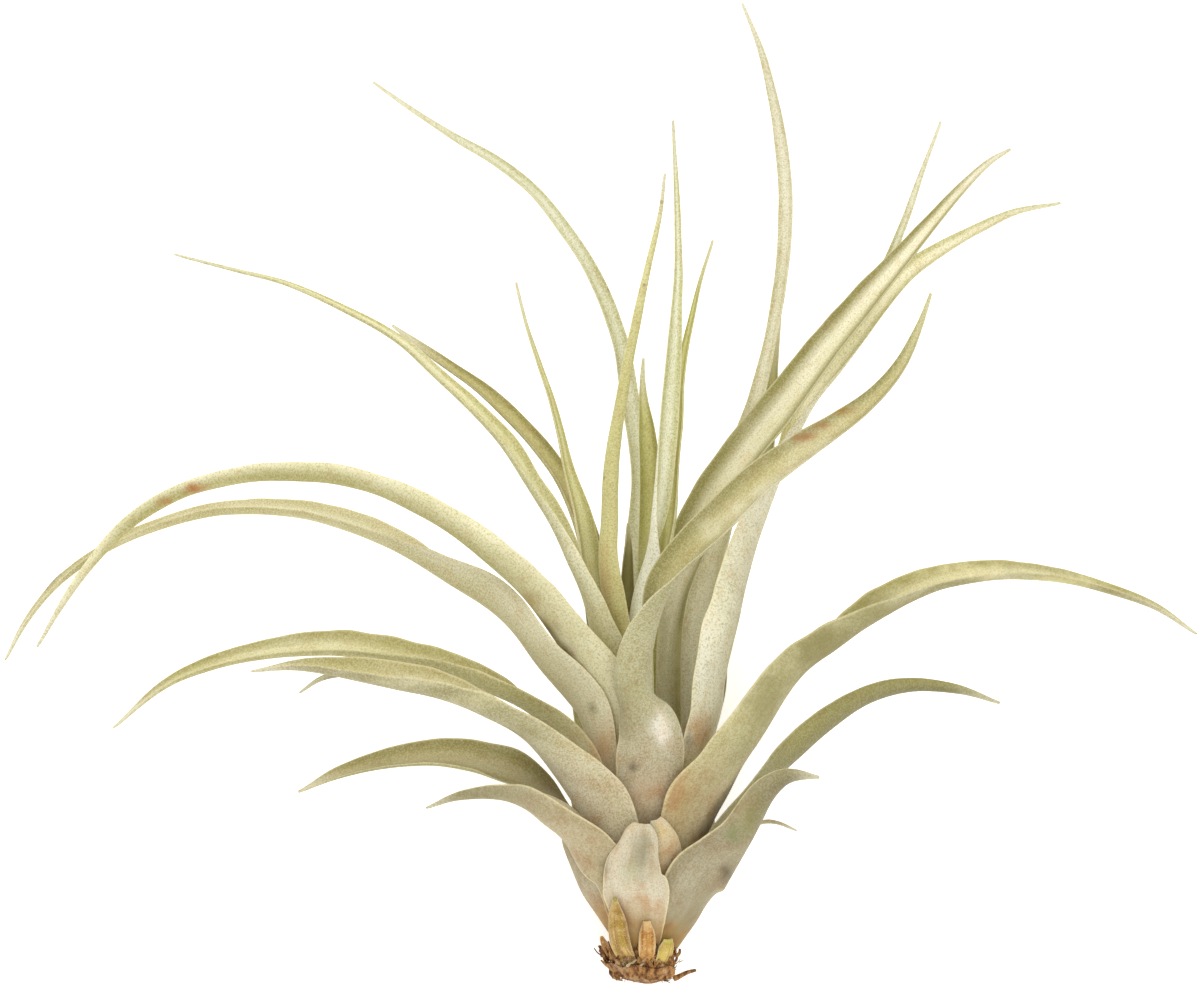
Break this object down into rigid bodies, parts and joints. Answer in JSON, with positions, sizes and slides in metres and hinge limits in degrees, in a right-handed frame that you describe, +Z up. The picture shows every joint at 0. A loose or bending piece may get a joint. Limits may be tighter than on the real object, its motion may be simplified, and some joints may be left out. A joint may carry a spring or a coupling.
{
  "type": "air plant",
  "caption": "Air plant lying on its back: overlapping pale leaf bases round a short stem, long channelled grey-green leaves arching out to thin dry tips, and a torn brown stub below.",
  "frame": {"origin": "centre of the bounding box's bottom face, on the surface the plant lies on", "axes": "+X to the picture's right, across the spread of the leaves; +Y from the stub towards the leaf tips, along the surface; +Z up, away from the surface"},
  "size_m": [0.2388, 0.2006, 0.0656],
  "materials": {
    "leaf_blade": "matt, with fine silvery scurf over yellow-green",
    "inner_leaf": "matt, olive, with fine silvery scurf",
    "low_leaf": "matt, pale pinkish cream with grey-green scurf",
    "dry_scale": "dry, papery, ochre to orange",
    "stem": "matt, pale cream, hidden by the leaf bases",
    "root": "rough torn brown fibre"
  },
  "bodies": {
    "root": {"leaf_01": "leaf_blade", "leaf_02": "leaf_blade", "leaf_03": "leaf_blade", "leaf_04": "leaf_blade", "leaf_05": "leaf_blade", "leaf_06": "leaf_blade", "leaf_07": "low_leaf", "leaf_08": "low_leaf", "leaf_09": "low_leaf", "leaf_10": "low_leaf", "leaf_11": "low_leaf", "leaf_12": "leaf_blade", "leaf_13": "leaf_blade", "leaf_14": "leaf_blade", "leaf_15": "leaf_blade", "leaf_16": "leaf_blade", "leaf_17": "leaf_blade", "leaf_18": "leaf_blade", "leaf_19": "leaf_blade", "leaf_20": "leaf_blade", "leaf_21": "leaf_blade", "leaf_22": "leaf_blade", "leaf_23": "leaf_blade", "leaf_24": "leaf_blade", "leaf_25": "leaf_blade", "leaf_26": "leaf_blade", "leaf_27": "leaf_blade", "leaf_28": "inner_leaf", "leaf_35": "low_leaf", "leaf_29": "low_leaf", "leaf_30": "low_leaf", "leaf_31": "low_leaf", "leaf_32": "inner_leaf", "leaf_33": "inner_leaf", "leaf_34": "inner_leaf", "dry_scale_front": "dry_scale", "dry_scale_middle": "dry_scale", "dry_scale_right_front": "dry_scale", "dry_scale_left": "dry_scale", "stem": "stem", "root_stub": "root", "root_fibre": "root"}
  },
  "joints": []
}
